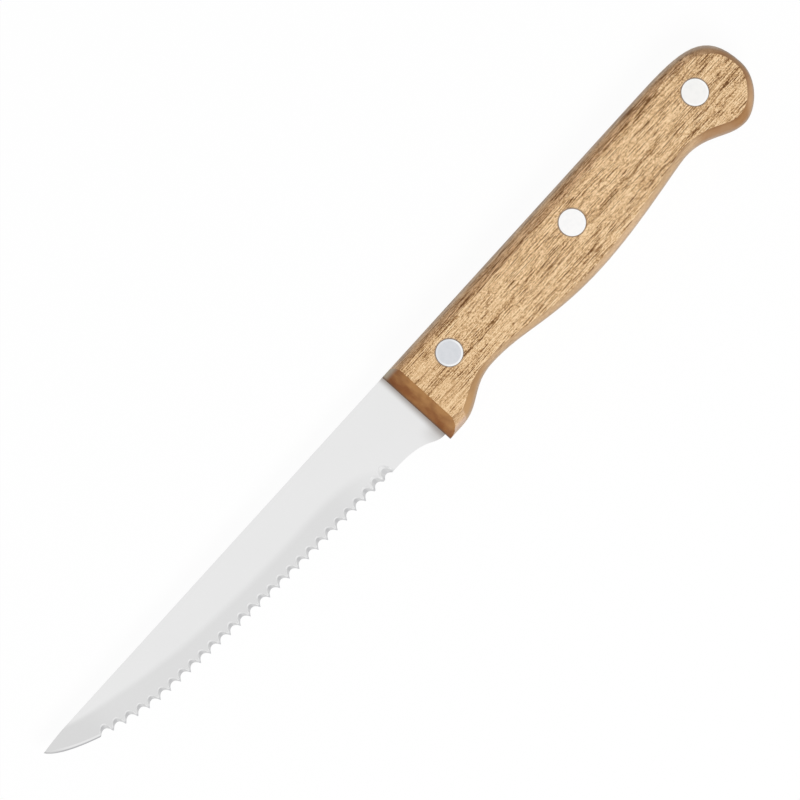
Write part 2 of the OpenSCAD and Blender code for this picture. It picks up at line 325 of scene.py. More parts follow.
def bezierAt(stretch, t):
    a, b, c, d = stretch
    u = 1 - t
    return tuple(u ** 3 * a[i] + 3 * u * u * t * b[i] + 3 * u * t * t * c[i] + t ** 3 * d[i] for i in (0, 1))


def depthAt(stretches, x):
    # depth at x on a line that runs towards the tip, straight on past its last point
    if x <= stretches[0][0][0]:
        return stretches[0][0][1]
    for stretch in stretches:
        if x <= stretch[3][0]:
            low, high = 0.0, 1.0
            for halving in range(40):
                middle = (low + high) / 2
                if bezierAt(stretch, middle)[0] < x:
                    low = middle
                else:
                    high = middle
            return bezierAt(stretch, low)[1]
    handle, last = stretches[-1][2:]
    return last[1] + (x - last[0]) * (last[1] - handle[1]) / (last[0] - handle[0])


weldMm = {"ring": 0.002, "piece": 0.0015}  # points closer than this become one
nearMm = 0.01  # lengths closer than this count as the same


def outlinePiece(name, stretches, steps, height):
    # a closed Bezier curve through the stretches, turned into a ring of edges at that height
    bpy.ops.curve.primitive_bezier_circle_add(radius=10 * mm)
    piece = bpy.context.object
    piece.name = name
    piece.data.name = name
    spline = piece.data.splines[0]
    spline.bezier_points.add(len(stretches) - len(spline.bezier_points))
    for i, stretch in enumerate(stretches):
        before = stretches[i - 1]
        point = spline.bezier_points[i]
        point.handle_left_type = point.handle_right_type = "FREE"
        point.co = placed(*stretch[0], height)
        point.handle_right = placed(*stretch[1], height)
        point.handle_left = placed(*before[2], height)
    piece.data.dimensions = "3D"
    piece.data.resolution_u = steps
    piece.data.bevel_depth = 0
    bpy.ops.object.convert(target="MESH")
    piece = bpy.context.object
    editWhole()
    bpy.ops.mesh.remove_doubles(threshold=weldMm["ring"] * mm)
    objectMode()
    return piece


def ringOrder(piece):
    # the ring's vertices one after another, and each one's outward direction
    links = {v.index: [] for v in piece.data.vertices}
    for edge in piece.data.edges:
        a, b = edge.vertices
        links[a].append(b)
        links[b].append(a)
    order = [0, links[0][0]]
    while len(order) < len(links):
        order.append([n for n in links[order[-1]] if n != order[-2]][0])
    points = [drawn(piece.data.vertices[i].co) for i in order]
    area = sum(points[i - 1].x * points[i].y - points[i].x * points[i - 1].y for i in range(len(points)))
    turn = 1 if area > 0 else -1
    outward = []
    for i in range(len(points)):
        run = points[(i + 1) % len(points)] - points[i - 1]
        outward.append(Vector((run.y, -run.x, 0)).normalized() * turn)
    return points, outward


def cut(piece, cutter):
    activate(piece)
    knife = piece.modifiers.new("cut", "BOOLEAN")
    knife.operation = "DIFFERENCE"
    knife.solver = "EXACT"
    knife.object = cutter
    bpy.ops.object.modifier_apply(modifier=knife.name)
    bpy.data.objects.remove(cutter, do_unlink=True)


def finishPiece(piece, name, material, smoothAngle):
    activate(piece)
    piece.name = name
    piece.data.name = name
    applyPlace()
    editWhole()
    bpy.ops.mesh.remove_doubles(threshold=weldMm["piece"] * mm)
    faceOutward()
    bpy.ops.object.shade_smooth_by_angle(angle=math.radians(smoothAngle))
    piece.data.materials.clear()
    piece.data.materials.append(material)


def declare(piece, slotName, *nodes):
    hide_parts(*nodes)
    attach(piece, "root")


rivetPlaces = [(-13.9, 7.25), (-53.05, 7.975), (-92.2, 8.7)]  # the rivets' middles: along, depth

woodLook = {
    "tones": [(0.0, shade(104, 68, 36)), (0.25, shade(146, 107, 66)), (0.45, shade(187, 148, 103)),
              (0.6, shade(216, 178, 132)), (0.75, shade(230, 193, 148)), (1.0, shade(248, 218, 176))],
    "middle": 0.74, "frontMiddle": 0.68, "gloss": 0.25, "roughness": 0.45,
    # each layer of the grain: changes per millimetre along and across, strength, shift and detail
    "speckle": (3.35, 5.5, 1.85, 0, 1), "shortFibre": (0.58, 5.2, 0.72, 11, 1), "fibre": (0.15, 5.4, 0.88, 0, 1),
    "longFibre": (0.045, 4.6, 0.6, 7, 0.5), "pore": (0.22, 5.0, 0.6, 3, 1), "band": (0.02, 0.5, 0.14, 0, 1),
    # changes per millimetre of the drift and the blotches, and how far the grain wanders
    "drift": (0.02, 0.05, 0.05), "blotch": 0.3, "wander": 0.45,
    "grooves": (0.25, 0.04),  # strength, and depth in millimetres
    # the roundings, the slanted front face and the seams; the back, lower side, swell, hook and corner colours, the
    # crease, the grey rims and the seam colours are painted shade, sheen or highlight
    "endGrain": shade(182, 142, 94), "buttGrain": shade(168, 131, 95), "buttLower": shade(190, 152, 113),
    "frontGrain": shade(183, 132, 77), "frontDark": shade(148, 92, 46), "frontBack": shade(116, 64, 24),
    "backShade": shade(249, 242, 240), "lowerSideShade": shade(189, 157, 122), "swellSheen": shade(205, 173, 139),
    "hookShade": shade(158, 115, 73), "cornerHighlight": shade(222, 188, 164), "cornerShade": shade(228, 224, 222),
    "facet": shade(184, 144, 99), "crease": shade(120, 82, 48), "greyRim": shade(168, 154, 140),
    "greyBack": shade(208, 194, 178), "greyFront": shade(170, 158, 140), "seam": shade(112, 88, 70),
    "rivetSeam": shade(138, 118, 104),
    # spans of the noise where pores crowd, a band darkens and a pore starts
    "poreBand": (0.35, 0.7), "darkBand": (0.45, 0.75), "poreStart": (0.59, 0.67),
    # spans along the handle over which a zone comes in, or comes in and goes out again
    "pastButtHalf": (-85.0, -50.0), "pastLowPale": (-55.0, -47.0), "calmFront": (-17.0, -7.0),
    "pastButt": (-86.0, -80.0), "pastHook": (-89.0, -83.0), "front": (-7.0, -5.0), "corner": (-6.6, -6.0),
    "slope": (-20.0, -14.0), "pastSlope": (-12.0, -9.0), "slopeStart": (-0.25, 0.15),
    "paleUnderBack": ((-28.0, -22.0), (-15.0, -9.0)), "darkUnderBack": ((-60.0, -50.0), (-38.0, -32.0)),
    "swell": ((-70.0, -62.0), (-52.0, -44.0)), "faintCrease": ((-76.0, -68.0), (-28.0, -20.0)),
    # a point on the line where the slope starts, and its lean for each millimetre up
    "slopeLine": (-5.4, 20.2, 0.6),
    # spans of depth below the back and below the flat face, and of distance from a rivet's middle
    "fromBack": (0.5, 6.0), "underBack": ((1.6, 2.6), (3.6, 4.6)), "lowPale": ((13.3, 14.5), (15.5, 16.7)),
    "cornerFoot": (18.7, 19.5), "frontTop": (0.3, 1.7), "backStreak": 1.2, "backStreakFade": (0.15, 0.7),
    "creaseFall": ((0.004, 0.03), (0.12, 0.4)), "slopeFall": (0.1, 1.8), "rivetShadow": (3.1, 3.45),
    # spans of distance from the steel
    "pastFoot": (1.4, 5.8), "seamAlong": (0.1, 0.8), "seamUp": (0.1, 1.1),
    # spans of how far the surface turns towards a side
    "endward": (0.1, 0.36), "buttBelow": (0.2, 0.6), "pastButtBelow": (-0.2, 0.0), "backward": (0.15, 0.5),
    "inView": (0.02, 0.3), "lowerSide": (0.12, 0.4), "cornerSide": (0.05, 0.3), "slopeSide": (0.2, 0.4),
    "pastCrease": (0.3, 0.5), "pastSheen": (0.3, 0.62), "frontFace": (0.4, 0.7), "worn": (0.02, 0.12),
    "rivetBelow": (-0.2, 0.6),
    # how strong each of them is
    "amounts": {
        "poresInBands": 0.06, "poresNearBack": 0.04, "nearBack": 0.04, "buttHalf": 0.03, "paleUnderBack": 0.15,
        "darkUnderBack": 0.09, "lowPale": 0.065, "calmFront": 0.35, "mottle": 2.2, "mottleSpeckle": 0.4,
        "foot": 0.85, "frontBack": 0.75, "frontBackBlotch": 0.4, "leastInView": 0.4, "lower": 0.75,
        "atHook": 0.2, "endAtBack": 0.25, "creaseAtButt": 0.7, "faintCrease": 0.8, "innerSlope": 0.3,
        "wornAtBack": 0.15, "worn": 0.5, "seam": 0.8, "rivetSeam": 0.85, "rivetBelow": 0.4,
        "fibreGroove": 0.4, "poreGroove": 0.6, "speckleGroove": 0.3, "fibreRoughness": 0.2,
    },
    # the same for the uneven ones: the blotches' part and the even part
    "blotched": {"rim": (0.5, 0.1), "slope": (0.2, 0.85), "crease": (0.3, 0.28), "backStreak": (0.2, 0.22)},
}


def woodFinish():
    k = woodLook
    by = k["amounts"]
    wood = Finish("oiled_wood", k["tones"][3][1])
    x, y, z = wood.position()
    facingX, facingY, facingZ = wood.facing()
    # the grain runs along the handle and wanders a little
    drift = wood.noise(wood.joined(x, y, z, k["drift"]), detail=0.5)
    grainY = y + (drift - 0.5) * k["wander"]

    def layer(name):
        along, across, strength, shift, detail = k[name]
        return wood.noise(wood.joined(x * along, grainY * across + shift, z * across), detail=detail)

    bands = layer("band")
    # short dark pores, gathered in bands and towards the back
    nearBack = y.before(*k["fromBack"])
    crowd = bands.between(*k["poreBand"]) * by["poresInBands"] + nearBack * by["poresNearBack"]
    pores = (layer("pore") + crowd).between(*k["poreStart"])
    tone = k["middle"] - pores * k["pore"][2] - bands.between(*k["darkBand"]) * k["band"][2]
    tone = tone - nearBack * by["nearBack"] - x.before(*k["pastButtHalf"]) * by["buttHalf"]
    strands = {name: layer(name) for name in ("speckle", "shortFibre", "fibre", "longFibre")}
    for name, strand in strands.items():
        tone = (strand - 0.5) * k[name][2] + tone
    speckle, fibre = strands["speckle"], strands["fibre"]
    # broad lighter and darker stretches
    underBack = y.within(*k["underBack"])
    tone = underBack * x.within(*k["paleUnderBack"]) * by["paleUnderBack"] + tone
    tone = tone - underBack * x.within(*k["darkUnderBack"]) * by["darkUnderBack"]
    tone = y.within(*k["lowPale"]) * x.before(*k["pastLowPale"]) * by["lowPale"] + tone
    # calmer behind the front face
    tone = tone + (k["frontMiddle"] - tone) * x.between(*k["calmFront"]) * by["calmFront"]
    colour = wood.node("ShaderNodeValToRGB", {"stops": k["tones"]}, {"Fac": tone}).out()
    # uneven blotches wherever the flat face ends
    mottle = wood.noise(wood.joined(x, y, z), scale=k["blotch"])
    blotch = (mottle - 0.5) * by["mottle"] + (speckle - 0.5) * by["mottleSpeckle"]

    def blotched(name):
        uneven, even = k["blotched"][name]
        return blotch * uneven + even

    # end grain wherever the surface turns across the grain, darkened with painted shade towards the steel, where the
    # front face meets the blade
    endward = abs(facingX).between(*k["endward"])
    aboveSteel = abs(z) - layers["steelHalf"]
    foot = aboveSteel.before(*k["pastFoot"])
    frontTone = wood.mix(foot * by["foot"] + blotch, k["frontGrain"], k["frontDark"])
    atBack = nearBack * by["frontBack"] + blotch * by["frontBackBlotch"]
    frontTone = wood.mix(atBack, frontTone, k["frontBack"])
    buttBelow = facingY.between(*k["buttBelow"]) * facingX.before(*k["pastButtBelow"])
    buttTone = wood.mix(buttBelow, k["buttGrain"], k["buttLower"])
    rimTone = wood.mix(x.before(*k["pastButt"]), k["endGrain"], buttTone)
    rimTone = wood.mix(blotched("rim"), rimTone, k["frontDark"])
    endTone = wood.mix(x.between(*k["front"]), rimTone, frontTone)
    # the roundings along the grain, smoother than the flat face; the back one darkened with painted shade, as it
    # faces away from the lamp
    backSide = (facingY * -1.0).between(*k["backward"])
    colour = wood.mix(backSide, colour, k["backShade"], "MULTIPLY")
    upward = abs(facingZ)
    inView = upward.between(*k["inView"]).lifted(by["leastInView"])
    atHook = x.before(*k["pastHook"])
    atCorner = x.between(*k["corner"])
    # painted shade with a greyish sheen on the lower rounding, which faces the lamp, darker at the hook, and a pale
    # pink painted highlight on the front corner's foot; cornerShade is painted shade on the corner's turn towards the
    # lamp
    lowerShading = wood.mix(x.within(*k["swell"]), k["lowerSideShade"], k["swellSheen"])
    lowerShading = wood.mix(atHook, lowerShading, k["hookShade"])
    lowerShading = wood.mix(atCorner, lowerShading, k["cornerHighlight"])
    lower = facingY.between(*k["lowerSide"]) * (1 - atCorner * y.before(*k["cornerFoot"]))
    colour = wood.mix(atCorner * facingY.between(*k["cornerSide"]), colour, k["cornerShade"], "MULTIPLY")
    colour = wood.mix(lower * inView * (atHook * by["atHook"] + by["lower"]), colour, lowerShading)
    endward = endward * inView.lifted(by["leastInView"]) * (1 - backSide * by["endAtBack"])
    colour = wood.mix(endward, colour, endTone)
    # the slope below the front corner starts sharply, on a line that leans
    lineX, lineY, lean = k["slopeLine"]
    slopeStart = (x + (lineY - y) * lean - lineX).before(*k["slopeStart"])
    slope = slopeStart * x.between(*k["slope"]) * facingY.between(*k["slopeSide"]) * inView
    colour = wood.mix(slope * blotched("slope"), colour, k["facet"])
    # painted shade in the crease round the flat face and on the slope's inner side, and a streak of painted shade
    # along the back rounding
    fall = faceHeight - abs(z)
    inCrease = fall.within(*k["creaseFall"]) * facingX.before(*k["pastCrease"])
    inCrease = inCrease * (1 - buttBelow * by["creaseAtButt"])
    inCrease = inCrease * (1 - x.within(*k["faintCrease"]) * by["faintCrease"])
    inner = slope * fall.before(*k["slopeFall"]) * x.before(*k["pastSlope"]) * by["innerSlope"]
    creaseShade = inCrease * (1 - backSide) * blotched("crease") + inner
    streak = abs(y - k["backStreak"]).before(*k["backStreakFade"])
    creaseShade = backSide * streak * blotched("backStreak") + creaseShade
    colour = wood.mix(creaseShade, colour, k["crease"])
    # a painted grey sheen along the outermost rim, where the surface turns to the side, and on the front face's top
    # edge
    faded = (upward - backSide * by["wornAtBack"]).before(*k["pastSheen"])
    onFront = facingX.between(*k["frontFace"])
    worn = upward.between(*k["worn"]) * faded * (1 - onFront) * by["worn"]
    colour = wood.mix(worn, colour, wood.mix(backSide, k["greyRim"], k["greyBack"]))
    colour = wood.mix(onFront * y.before(*k["frontTop"]), colour, k["greyFront"])
    # painted shade in a dark line where the slanted face meets the steel, and a dark ring round each rivet, partly
    # its seam and partly painted shade, paler on the lower side that faces the lamp
    line = abs(x).before(*k["seamAlong"]) * aboveSteel.before(*k["seamUp"])
    colour = wood.mix(line * by["seam"], colour, k["seam"])
    ring = 0.0
    for rivetX, rivetY in rivetPlaces:
        dx, dy = x - rivetX, y - rivetY
        reach = (dx * dx + dy * dy) ** 0.5
        paler = (dy / reach).between(*k["rivetBelow"]) * by["rivetBelow"]
        ring = reach.before(*k["rivetShadow"]) * (by["rivetSeam"] - paler) + ring
    colour = wood.mix(ring, colour, k["rivetSeam"])
    grooves = fibre * by["fibreGroove"] - pores * by["poreGroove"] + speckle * by["speckleGroove"]
    wood.feed(colour=colour, roughness=fibre * by["fibreRoughness"] + k["roughness"], gloss=k["gloss"],
              normal=wood.bump(grooves, *k["grooves"]))
    return wood.material


steelLook = {
    # the face's colour, then painted shade and highlights: the ground band, the tip, the scallop hollows and rims,
    # the edge, the tooth tips and the shade by the handle
    "face": shade(236, 236, 236), "band": shade(225, 225, 225), "tip": shade(220, 220, 220),
    "hollow": shade(205, 205, 206), "rim": shade(247, 247, 247), "edge": shade(186, 186, 188),
    "edgeHighlight": shade(236, 236, 236), "toothTipShade": shade(207, 207, 209), "shaded": shade(156, 148, 142),
    "roughness": 0.28,
    # changes per millimetre along, across and up
    "brush": (9.0, 0.25, 6.0), "cloud": (0.07, 0.12, 0.1),
    "grooves": (0.06, 0.01),  # strength, and depth in millimetres
    # where the ground band starts to show: along, depth below the back
    "groundLine": [(12, 16), (18, 11.6), (24, 9.9), (30, 9.3), (45, 9.2), (60, 8.5), (75, 7.0), (79, 6.2),
                   (82.5, 5.6), (90, 3.9), (95, 2.7), (100, 1.4), (105, -0.9), (112, -5)],
    # how wide its start fades at the handle, and how much less for each millimetre further on
    "groundFade": (2.9, 0.0135), "grindSlope": 0.081,
    # spans along the blade
    "ground": (10.0, 30.0), "darkTip": (92.0, 102.0), "scallopGround": (12.6, 12.8), "scallops": (13.2, 13.4),
    "pastScallops": (99.7, 99.9), "pastHeel": (13.0, 22.0), "plainEdge": (99.2, 99.6), "narrowing": (99.0, 110.0),
    "pastEdgeRim": (105.0, 110.5), "paleEdge": (107.0, 111.0), "heelShadow": (-1.0, 5.0), "seamShadow": (-0.3, 1.7),
    # spans of distance from the edge
    "pastHollow": (2.6, 3.0), "pastToothTip": (0.3, 0.8), "pastRimLine": (0.65, 0.85), "pastEdge": (0.22, 0.4),
    # spans of depth below the back and below the ground face, and of how far the surface turns
    "heelDepth": (13.0, 17.0), "pastRim": (0.08, 0.18), "pastHollowTurn": (0.91, 0.965), "flank": (0.08, 0.42),
    # how strong each of them is
    "amounts": {
        "leastAtHeel": 0.55, "flank": 0.75, "narrowing": 0.25, "paleEdge": 0.6, "heelShadow": 0.55,
        "seamShadow": 0.95, "brush": 0.05, "cloud": 0.08, "grey": 0.03, "brushRoughness": 0.12,
    },
}


def steelFinish():
    k = steelLook
    by = k["amounts"]
    steel = Finish("satin_steel", k["face"])
    x, y, z = steel.position()
    facingX, facingY, facingZ = steel.facing()

    def depthCurve(line):
        # the line's depth at x
        span, reach, above = 120.0, 30.0, 10.0
        stops = [(along / span, (depth + above) / reach) for along, depth in line]
        stops = [(0.0, stops[0][1])] + stops + [(1.0, stops[-1][1])]
        return steel.node("ShaderNodeFloatCurve", {"curve": stops},
                          {"Factor": 1.0, "Value": x / span}).out() * reach - above

    # the ground band in painted shade, a darker grey that stands in for its tilted reflection, softer and fainter
    # towards the heel and darker still by the tip
    fade = k["groundFade"][0] - x * k["groundFade"][1]
    ground = ((y - depthCurve(k["groundLine"])) / fade).between(-0.5, 0.5) * x.between(*k["ground"])
    colour = steel.mix(ground, k["face"], k["band"])
    colour = steel.mix(ground * x.between(*k["darkTip"]), colour, k["tip"])
    # the hollows of the scallops in painted light: a painted highlight along the rim, painted shade towards the root,
    # the flanks lighter again and the tooth tips in painted shade
    edge = edgeStretches()
    stations = (*range(16, 96, 4), *range(96, 112))
    toEdge = depthCurve([(along, depthAt(edge, along)) for along in stations]) - y
    nearEdge = toEdge.before(*k["pastHollow"]) * x.between(*k["scallopGround"])
    serrated = x.before(*k["pastScallops"]) * x.between(*k["scallops"])
    hollow = facingZ.before(*k["pastHollowTurn"]) * nearEdge * serrated
    sunk = toEdge * k["grindSlope"] + bladeShape["edgeHalf"] - z
    rim = sunk.before(*k["pastRim"])
    flank = abs(facingX).between(*k["flank"])
    fromHeel = x.between(*k["pastHeel"]).lifted(by["leastAtHeel"])
    colour = steel.mix(hollow * fromHeel, colour, k["hollow"])
    colour = steel.mix(hollow * flank * by["flank"], colour, k["face"])
    colour = steel.mix(hollow * rim, colour, k["rim"])
    colour = steel.mix(toEdge.before(*k["pastToothTip"]) * serrated * fromHeel, colour, k["toothTipShade"])
    # the plain edge by the tip: a painted highlight above the fine bevel and painted shade on the bevel
    plain = x.between(*k["plainEdge"])
    fromEdge = toEdge * (1 - x.between(*k["narrowing"]) * by["narrowing"])
    rimLine = plain * fromEdge.before(*k["pastRimLine"]) * x.before(*k["pastEdgeRim"])
    colour = steel.mix(rimLine, colour, k["edgeHighlight"])
    plainDark = plain * (1 - x.between(*k["paleEdge"]) * by["paleEdge"])
    colour = steel.mix(plainDark * fromEdge.before(*k["pastEdge"]), colour, k["edge"])
    # the steel is darker close to the handle, further out at the heel
    heelShadow = x.before(*k["heelShadow"]) * y.between(*k["heelDepth"]) * by["heelShadow"]
    colour = steel.mix(heelShadow, colour, k["shaded"])
    colour = steel.mix(x.before(*k["seamShadow"]) * by["seamShadow"], colour, k["shaded"])
    brush = steel.noise(steel.joined(x, y, z, k["brush"]), detail=3.0, roughness=0.6)
    cloud = steel.noise(steel.joined(x, y, z, k["cloud"]), detail=1.0)
    grey = (brush - 0.5) * by["brush"] + (cloud - 0.5) * by["cloud"] + by["grey"]
    colour = steel.mix(grey, colour, k["hollow"])
    steel.feed(colour=colour, metallic=1.0, roughness=brush * by["brushRoughness"] + k["roughness"],
               normal=steel.bump(brush, *k["grooves"]))
    return steel.material


rivetLook = {
    # each rivet's steel and the tint that swirls in it; the front rivet's greyer steel is painted shade, standing in
    # for the darker reflection its head shows
    "front": (shade(220, 222, 226), shade(210, 213, 218)),
    "middle": (shade(253, 252, 251), shade(246, 246, 246)),
    "rear": (shade(248, 247, 245), shade(240, 240, 239)),
    # changes per millimetre, and where and how much the swirl tints
    "swirl": 1.1, "fine": 6, "swirlSpan": (0.35, 0.75), "tinted": 0.5,
    # the painted highlight on the rim: its span, the lean and span of its brighter side, and how bright
    "rimHighlight": shade(254, 254, 254), "rimSpan": (2.45, 2.7), "rimLean": 0.4, "rimRound": (-0.6, 0.5),
    "rimMore": 0.55, "rimLeast": 0.25,
    "roughness": 0.24, "fineRoughness": 0.15, "grooves": (0.08, 0.01),
}


def rivetFinish(word, centre):
    k = rivetLook
    colour, tint = k[word]
    rivet = Finish(word + "_rivet_steel", colour)
    x, y, z = rivet.position()
    dx, dy = x - centre[0], y - centre[1]
    reach = (dx * dx + dy * dy) ** 0.5
    spot = rivet.joined(x, y, z)
    swirl, fine = rivet.noise(spot, scale=k["swirl"]), rivet.noise(spot, scale=k["fine"])
    base = rivet.mix(swirl.between(*k["swirlSpan"]) * k["tinted"], colour, tint)
    # a painted highlight on the rim, brighter on its lower side, which faces the lamp
    lowerSide = ((dy - dx * k["rimLean"]) / reach).between(*k["rimRound"])
    rim = reach.between(*k["rimSpan"]) * (lowerSide * k["rimMore"] + k["rimLeast"])
    rivet.feed(colour=rivet.mix(rim, base, k["rimHighlight"]), metallic=1.0,
               roughness=fine * k["fineRoughness"] + k["roughness"], normal=rivet.bump(fine, *k["grooves"]))
    return rivet.material


scaleShape = {
    "slant": 3.82, "rings": 9, "steps": 16, "samples": 48, "past": 1.2, "smoothDegrees": 13,
    "boreRadius": 2.05, "headRadius": 3.05, "headDepth": 1.5, "countersink": 0.08, "boreStart": -1.0,
    # the hand-worked rounding along the rim: width on the face, height on the side and crease in
    # degrees, at places spread evenly along each stretch
    "rounding": [
        [(2.2, 2.8, 30), (2.2, 3.0, 31)],  # butt, upper half
        [(1.05, 2.2, 22), (1.5, 2.5, 25)],  # butt, lower half
        [(2.1, 3.0, 31), (2.25, 3.4, 35)],  # hook to neck
        [(1.7, 3.0, 32), (1.4, 2.6, 27)],  # neck to swell
        [(1.3, 2.4, 24), (1.3, 2.4, 24)],  # swell to waist
        [(1.3, 2.6, 26), (1.5, 3.0, 31), (1.8, 3.4, 35), (2.0, 3.6, 36), (2.0, 3.8, 33)],  # waist to corner
        [(3.0, 5.2, 12), (3.4, 5.5, 8)],  # corner to front
        [(3.4, 5.5, 8), (2.8, 4.0, 16)],  # past the front, cut away
        [(1.7, 2.8, 34), (2.4, 3.0, 33), (3.1, 3.2, 31), (3.0, 3.2, 31)],  # back
    ],
}


def roundingSamples(stretches, rounding):
    # points along the rim with the rounding's width, height and crease there
    samples = []
    for i, stretch in enumerate(stretches):
        stations = rounding[i] + [rounding[(i + 1) % len(rounding)][0]]
        for j in range(scaleShape["samples"]):
            t = j / scaleShape["samples"]
            along = t * (len(stations) - 1)
            first, last = stations[int(along)], stations[int(along) + 1]
            share = (along % 1) ** 2 * (3 - 2 * (along % 1))
            point = Vector((*bezierAt(stretch, t), 0))
            samples.append((point, tuple(a + (b - a) * share for a, b in zip(first, last))))
    return samples


def lathed(name, centre, rings, vertices=96):
    # a round piece with rings of (radius, height), from the lowest to the highest
    bpy.ops.mesh.primitive_circle_add(vertices=vertices, radius=rings[0][0] * mm, fill_type="NGON",
                                      location=placed(centre[0], centre[1], rings[0][1]))
    piece = bpy.context.object
    piece.name = name
    applyPlace()
    editMode()
    bpy.ops.mesh.select_all(action="SELECT")
    middle = placed(*centre)
    for (radius, height), (nextRadius, nextHeight) in zip(rings, rings[1:]):
        extrudeUp(nextHeight - height)
        if nextRadius != radius:
            share = nextRadius / radius
            bpy.ops.transform.resize(value=(share, share, 1), center_override=(middle.x, middle.y, 0))
    faceOutward()
    return piece


def makeScale(material):
    k = scaleShape
    cornerDepth = knifeOutline["cornerDepth"]
    steelHalf, thickness = layers["steelHalf"], layers["scaleThickness"]
    stretches = handleStretches()
    front = k["past"]
    corner, start = stretches[-1][3], stretches[0][0]
    stretches += straights(corner, (front, cornerDepth), (front, 0.0), start)
    piece = outlinePiece("scale", stretches, k["steps"], steelHalf)
    points, outward = ringOrder(piece)
    editWhole()
    bpy.ops.mesh.edge_face_add()
    samples = roundingSamples(stretches, k["rounding"])
    rim = []
    for point, direction in zip(points, outward):
        shape = min(samples, key=lambda sample: (sample[0] - point).xy.length)[1]
        if point.x > front - nearMm:
            # the two outermost corners move straight in, and the slanted cut takes the rest away
            direction = Vector((0, -1 if point.y < 1 else 1 if point.y > cornerDepth - 1 else 0, 0))
        rim.append((point, direction, shape))
    extrudeUp(0)
    # ring by ring up the rounding, which ends in a slight crease on the flat face
    objectMode()
    tracked = {v.index: min(rim, key=lambda entry: (entry[0] - drawn(v.co)).xy.length)
               for v in piece.data.vertices if v.select}
    for ring in range(k["rings"] + 1):
        if ring > 0:
            before = {v.index: v.co.copy() for v in piece.data.vertices if v.select}
            editMode()
            extrudeUp(0)
            objectMode()
            tracked = {v.index: tracked[min(before, key=lambda i: (before[i] - v.co).length)]
                       for v in piece.data.vertices if v.select}
        for index, (point, direction, (width, height, crease)) in tracked.items():
            top = math.radians(90 - crease)
            angle = top * ring / k["rings"]
            inset = width * (1 - math.cos(angle)) / (1 - math.cos(top))
            rise = thickness - height + height * math.sin(angle) / math.sin(top)
            moved = point - direction * inset
            piece.data.vertices[index].co = placed(moved.x, moved.y, steelHalf + rise)
    # the slanted front face
    lean = math.atan2(k["slant"], thickness)
    editWhole("FACE")
    bpy.ops.mesh.bisect(plane_co=placed(0, 0, steelHalf), plane_no=(math.cos(lean), 0, math.sin(lean)),
                        use_fill=True, clear_outer=True)
    faceOutward()
    # a bore for each rivet, a counterbore for its head and a fine countersink
    bore, head, sink = k["boreRadius"], k["headRadius"], k["countersink"]
    seat = faceHeight - k["headDepth"]
    rings = [(bore, k["boreStart"]), (bore, seat), (head, seat), (head, faceHeight - sink),
             (head + 2 * sink, faceHeight + sink)]
    for centre in rivetPlaces:
        cut(piece, lathed("bore", centre, rings))
    finishPiece(piece, "wood_scale_left", material, k["smoothDegrees"])
    return piece


def turnedOver(piece, name):
    # a copy of the piece on the other side of the steel
    activate(piece)
    bpy.ops.object.duplicate()
    other = bpy.context.object
    other.name = name
    other.data.name = name
    editWhole()
    bpy.ops.transform.resize(value=(1, 1, -1), center_override=placed(0, 0, 0))
    faceOutward()
    return other


bladeShape = {
    "edgeHalf": 0.15, "teeth": 29, "teethEnd": 99.5, "toothDepth": 1.22, "toothLean": 62,
    "toothShift": 0.27, "toothLand": 0.03, "fineBevel": 0.7, "fineEdgeShare": 0.25, "spineBevel": 0.12, "over": 1.0,
    "backDepth": 0.5, "steps": 20, "smoothDegrees": 3.6,
    # columns of the sloped cutters; the grind's crowd towards the heel
    "grindColumns": 120, "grindCrowding": 1.35, "leastGrind": 0.5, "bevelColumns": 24, "cutterHeight": 3,
    "boreRings": [(2.05, -2), (2.05, 2)], "boreSides": 48, "toothSides": 144, "toothCutterLength": 12,
}


def section(x, upper, height, lower, slope):
    # a slope at x from the depth upper, at that height, down to the depth lower, and a little past both
    over = bladeShape["over"]
    return (x, upper - over, height + over * slope, lower + over, height - (lower + over - upper) * slope)


def slopedCutter(name, sections):
    # a block above a sloping face
    bpy.ops.mesh.primitive_grid_add(x_subdivisions=len(sections) - 1, y_subdivisions=1, size=10 * mm)
    piece = bpy.context.object
    piece.name = name
    ordered = sorted(piece.data.vertices, key=lambda v: (round(v.co.x, 7), v.co.y))
    for i, v in enumerate(ordered):
        x, upperDepth, upperHeight, lowerDepth, lowerHeight = sections[i // 2]
        v.co = placed(x, upperDepth, upperHeight) if i % 2 == 0 else placed(x, lowerDepth, lowerHeight)
    editWhole("FACE")
    extrudeUp(bladeShape["cutterHeight"])
    faceOutward()
    return piece


def cutBothFaces(piece, name, sections):
    cutter = slopedCutter(name, sections)
    other = turnedOver(cutter, name)
    cut(piece, cutter)
    cut(piece, other)


def bladeOutline():
    o = knifeOutline
    rim = handleStretches()
    corner = rim[-1][3]
    setback = -o["tangSetback"]
    heelStart = (0.0, o["heelDepth"])
    tip = (o["bladeLength"], o["tipDrop"])
    tipBack = (o["bladeLength"] * (1 - o["tipBackShare"]), 0.0)
    heel = levelHandles(heelStart, o["firstTooth"], *o["heelPull"])
    point = levelHandles(tipBack, tip, *o["tipPull"])
    tang = straights(corner, (setback, o["cornerDepth"]), (setback, o["heelDepth"]), heelStart)
    return [*rim, *tang, (heelStart, *heel, o["firstTooth"]), *edgeStretches(),
            (tip, point[1], point[0], tipBack), straight(tipBack, rim[0][0])]


